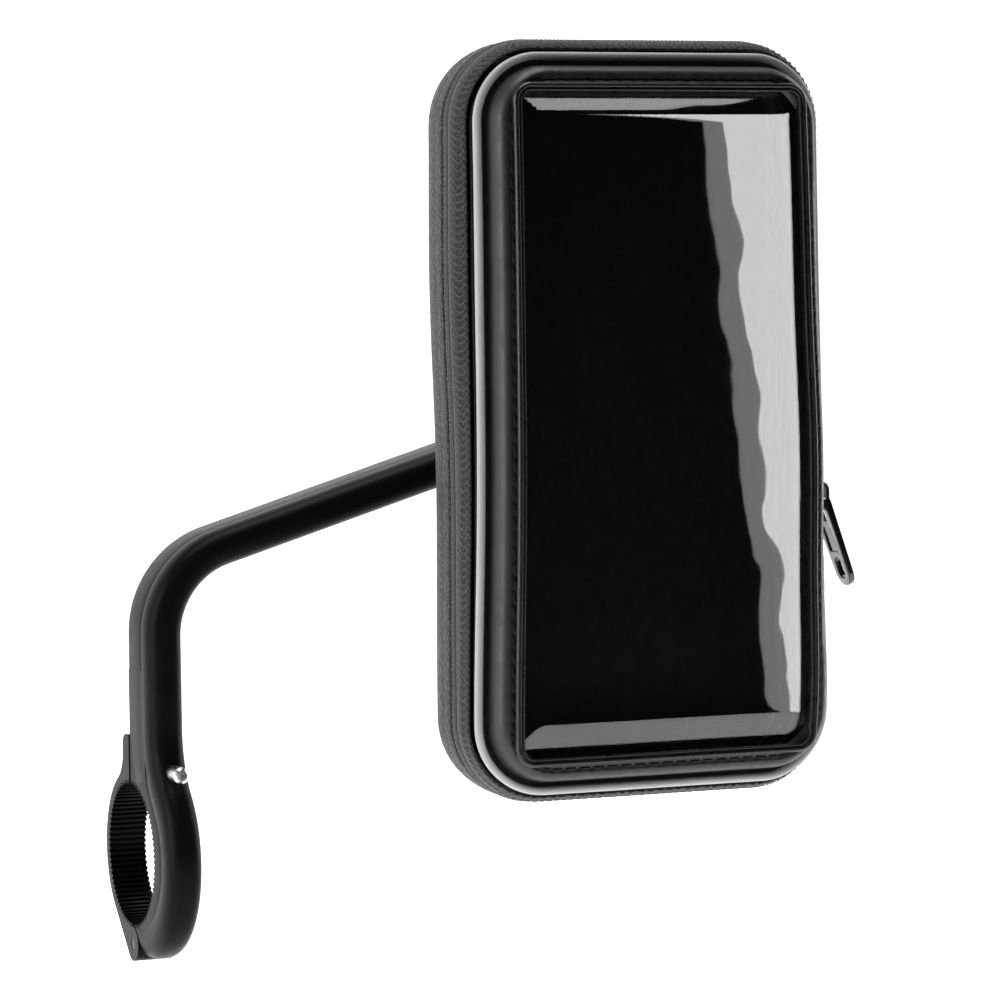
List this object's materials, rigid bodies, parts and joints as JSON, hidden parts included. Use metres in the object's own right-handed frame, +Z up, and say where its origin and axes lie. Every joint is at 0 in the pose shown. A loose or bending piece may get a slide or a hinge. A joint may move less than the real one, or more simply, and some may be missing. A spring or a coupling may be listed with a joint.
{
  "type": "phone handlebar mount",
  "caption": "Zipped phone case with a clear window, held on a ball joint by a bent arm that clamps onto a handlebar.",
  "frame": {"origin": "centre of the handlebar clamp bore, in the middle of the clamp's width", "axes": "+X along the handlebar towards the case, +Z up, -Y towards the rider, who looks at the window"},
  "size_m": [0.1695, 0.0993, 0.2244],
  "materials": {
    "arm_nylon": "satin black glass-filled nylon with a fine moulded grain",
    "screw_steel": "bright zinc-plated steel",
    "stud_steel": "plain turned steel",
    "insert_brass": "knurled brass",
    "cup_plastic": "natural acetal",
    "joint_plastic": "satin black moulded plastic",
    "case_leatherette": "fine-grained black leatherette over foam board",
    "zip_fabric": "black twill zip tape",
    "zip_metal": "gloss black enamelled zinc",
    "border_leatherette": "smooth satin black leatherette, padded",
    "reflective_piping": "silver-grey reflective piping",
    "window_pvc": "clear glossy flexible sheet",
    "pad_foam": "black brushed-knit foam pad",
    "lining_fabric": "black woven lining",
    "backing_card": "grey stiffening board"
  },
  "bodies": {
    "arm": {"clamp_arm": "arm_nylon", "screw_insert": "insert_brass", "hinge_pin": "stud_steel", "ball_stud": "stud_steel", "stud_washer": "stud_steel", "stud_nut": "stud_steel"},
    "cap": {"clamp_cap": "arm_nylon"},
    "screw": {"clamp_screw": "screw_steel"},
    "cup": {"ball_cup": "cup_plastic"},
    "socket": {"socket_housing": "joint_plastic"},
    "collar": {"locking_collar": "joint_plastic"},
    "case": {"retaining_ring": "joint_plastic", "ring_screws": "stud_steel", "back_plate": "joint_plastic", "plate_screws": "stud_steel", "case_shell": "case_leatherette", "backing_board": "backing_card", "phone_pad": "pad_foam", "rear_zip_tape": "zip_fabric", "hinge_fabric": "zip_fabric"},
    "slider": {"zip_slider": "zip_metal"},
    "puller": {"zip_puller": "zip_metal"},
    "lid": {"front_zip_tape": "zip_fabric", "lid_band": "zip_fabric", "border_pad": "border_leatherette", "piping": "reflective_piping", "window_trim": "border_leatherette", "window_sheet": "window_pvc", "lid_lining": "lining_fabric"}
  },
  "joints": [
    {"name": "screw_travel", "type": "slide", "parent": "arm", "child": "screw", "axis": [0, 1, 0], "range_m": [0, 0.01]},
    {"name": "cap_swing", "type": "hinge", "parent": "arm", "child": "cap", "pos_m": [0, 0, -0.0225], "axis": [-1, 0, 0], "range_deg": [0, 12]},
    {"name": "ball_pan", "type": "hinge", "parent": "arm", "child": "cup", "pos_m": [0.105, -0.032, 0], "axis": [0, 0, 1], "range_deg": [-10, 10]},
    {"name": "ball_tilt", "type": "hinge", "parent": "cup", "child": "socket", "pos_m": [0.105, -0.032, 0.10335], "axis": [1, 0, 0], "range_deg": [-15, 15]},
    {"name": "collar_turn", "type": "hinge", "parent": "socket", "child": "collar", "pos_m": [0.105, -0.032, 0.10335], "axis": [0, 1, 0], "range_deg": [0, 90]},
    {"name": "case_spin", "type": "hinge", "parent": "socket", "child": "case", "pos_m": [0.105, -0.049, 0.10335], "axis": [0, 1, 0], "continuous": true},
    {"name": "lid_open", "type": "hinge", "parent": "case", "child": "lid", "pos_m": [0.1565, -0.063, 0.10605], "axis": [0, 0, 1], "range_deg": [0, 90]},
    {"name": "slider_run", "type": "slide", "parent": "case", "child": "slider", "axis": [0, 0, 1], "range_m": [0, 0.085]},
    {"name": "puller_swing", "type": "hinge", "parent": "slider", "child": "puller", "pos_m": [0.1565, -0.0604, 0.08455], "axis": [0, -1, 0], "range_deg": [0, 120]}
  ],
  "couplings": [
    {"joint": "cap_swing", "follows": "screw_travel", "rad_per_m": 20}
  ]
}
